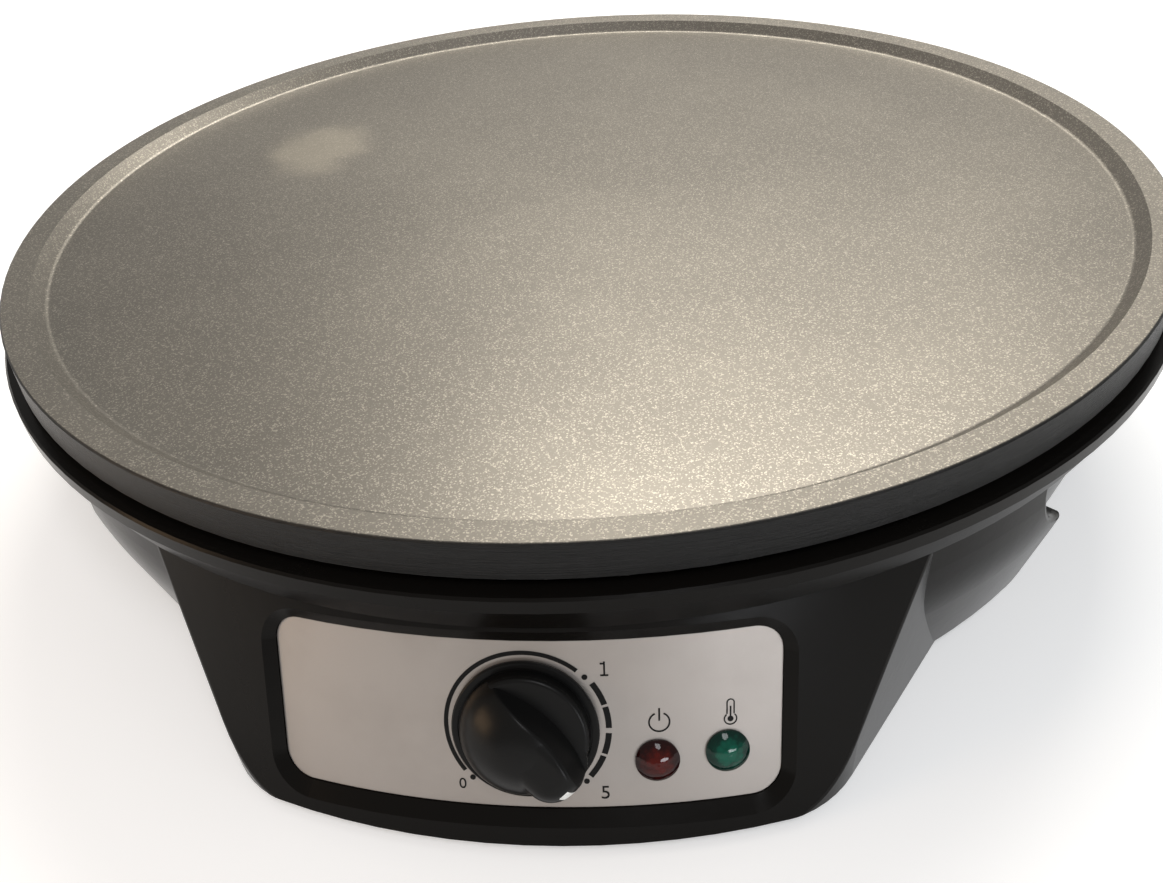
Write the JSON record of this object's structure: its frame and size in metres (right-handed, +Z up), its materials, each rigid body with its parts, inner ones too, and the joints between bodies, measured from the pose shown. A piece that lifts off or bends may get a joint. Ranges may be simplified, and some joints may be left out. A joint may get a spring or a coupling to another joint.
{
  "type": "electric crepe maker",
  "caption": "Round flat electric griddle on a low moulded base, with a sloping control panel, thermostat knob and indicator lamps.",
  "frame": {"origin": "centre of the flat cooking surface", "axes": "+Z up, the control panel faces -Y, +X to the right seen from the front"},
  "size_m": [0.3102, 0.3243, 0.0682],
  "materials": {
    "coated_plate": "cast disc with a fine sparkling non-stick coating",
    "black_moulding": "glossy black with a slight moulded ripple",
    "silver_panel": "satin silver",
    "black_knob": "glossy black",
    "white_mark": "plain white",
    "red_lens": "dark red, clear",
    "green_lens": "dark green, clear",
    "spring_steel": "plain",
    "plain_steel": "zinc plated",
    "brown_phenolic": "moulded",
    "brass_parts": "plain",
    "copper_tube": "drawn copper",
    "heater_sheath": "annealed dark",
    "ceramic": "fired, unglazed",
    "shield_steel": "bright sheet",
    "fuse_sleeve": "woven glass sleeve",
    "neon_glass": "clear",
    "black_cover": "matt black",
    "black_rubber": "matt",
    "brown_wire": "silicone",
    "white_wire": "silicone",
    "blue_wire": "silicone",
    "green_wire": "silicone"
  },
  "bodies": {
    "base": {"griddle_plate": "coated_plate", "housing": "black_moulding", "fascia": "silver_panel", "power_lens": "red_lens", "ready_lens": "green_lens", "thermostat_body": "brown_phenolic", "thermostat_flange": "plain_steel", "thermostat_screws": "plain_steel", "thermostat_terminals": "brass_parts", "capillary_tube": "copper_tube", "sensing_bulb": "copper_tube", "bulb_clip": "plain_steel", "bulb_clip_screw": "plain_steel", "heating_element": "heater_sheath", "element_insulators": "ceramic", "element_terminals": "plain_steel", "element_clips": "plain_steel", "element_clip_screws": "plain_steel", "heat_shield": "shield_steel", "spacer_washers": "ceramic", "plate_screws": "plain_steel", "earth_screw": "brass_parts", "thermal_fuse": "fuse_sleeve", "fuse_strap": "plain_steel", "fuse_strap_screw": "plain_steel", "lamp_collars": "plain_steel", "neon_lamps": "neon_glass", "bottom_cover": "black_cover", "cover_screws": "plain_steel", "feet": "black_rubber", "cord_bush": "black_rubber", "terminal_block": "ceramic", "terminal_clamps": "brass_parts", "terminal_block_screw": "plain_steel", "live_wire": "brown_wire", "heater_wire": "white_wire", "fuse_wires": "blue_wire", "earth_wire": "green_wire", "lamp_wires": "white_wire"},
    "knob_group": {"knob": "black_knob", "knob_pointer": "white_mark", "knob_spring": "spring_steel", "thermostat_shaft": "plain_steel"}
  },
  "joints": [
    {"name": "knob_turn", "type": "hinge", "parent": "base", "child": "knob_group", "pos_m": [0.001, -0.15683, -0.0393], "axis": [0.0059, -0.9252, 0.3795], "range_deg": [0, 270]}
  ]
}
